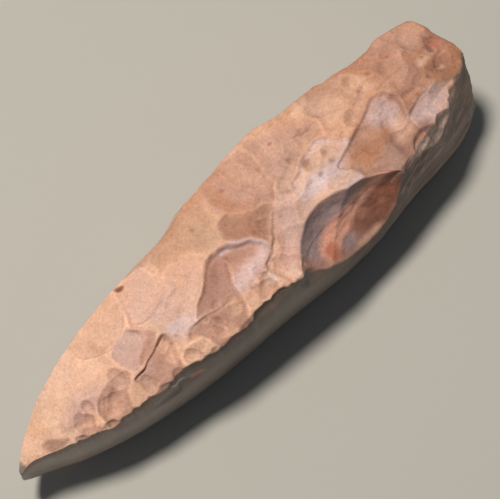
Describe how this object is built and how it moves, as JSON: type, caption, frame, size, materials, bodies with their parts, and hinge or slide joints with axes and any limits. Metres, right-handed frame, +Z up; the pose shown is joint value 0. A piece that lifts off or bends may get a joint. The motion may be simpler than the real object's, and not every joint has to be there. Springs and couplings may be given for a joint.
{
  "type": "stone axe head",
  "caption": "Knapped flint axe head, ground smooth towards its cutting edge, lying on one narrow side with its flaked other side up.",
  "frame": {"origin": "middle of the box at the height of the underside's resting flat", "axes": "+X from the cutting edge to the butt, +Y towards the broad face that lies away from the camera, +Z up, from the narrow side it lies on to the flaked narrow side on top"},
  "size_m": [0.2, 0.053, 0.0539],
  "materials": {
    "flint": "tan and pinkish brown patina with fine speckle, grey and slightly glossy where ground"
  },
  "bodies": {
    "root": {"axe_head": "flint"}
  },
  "joints": []
}
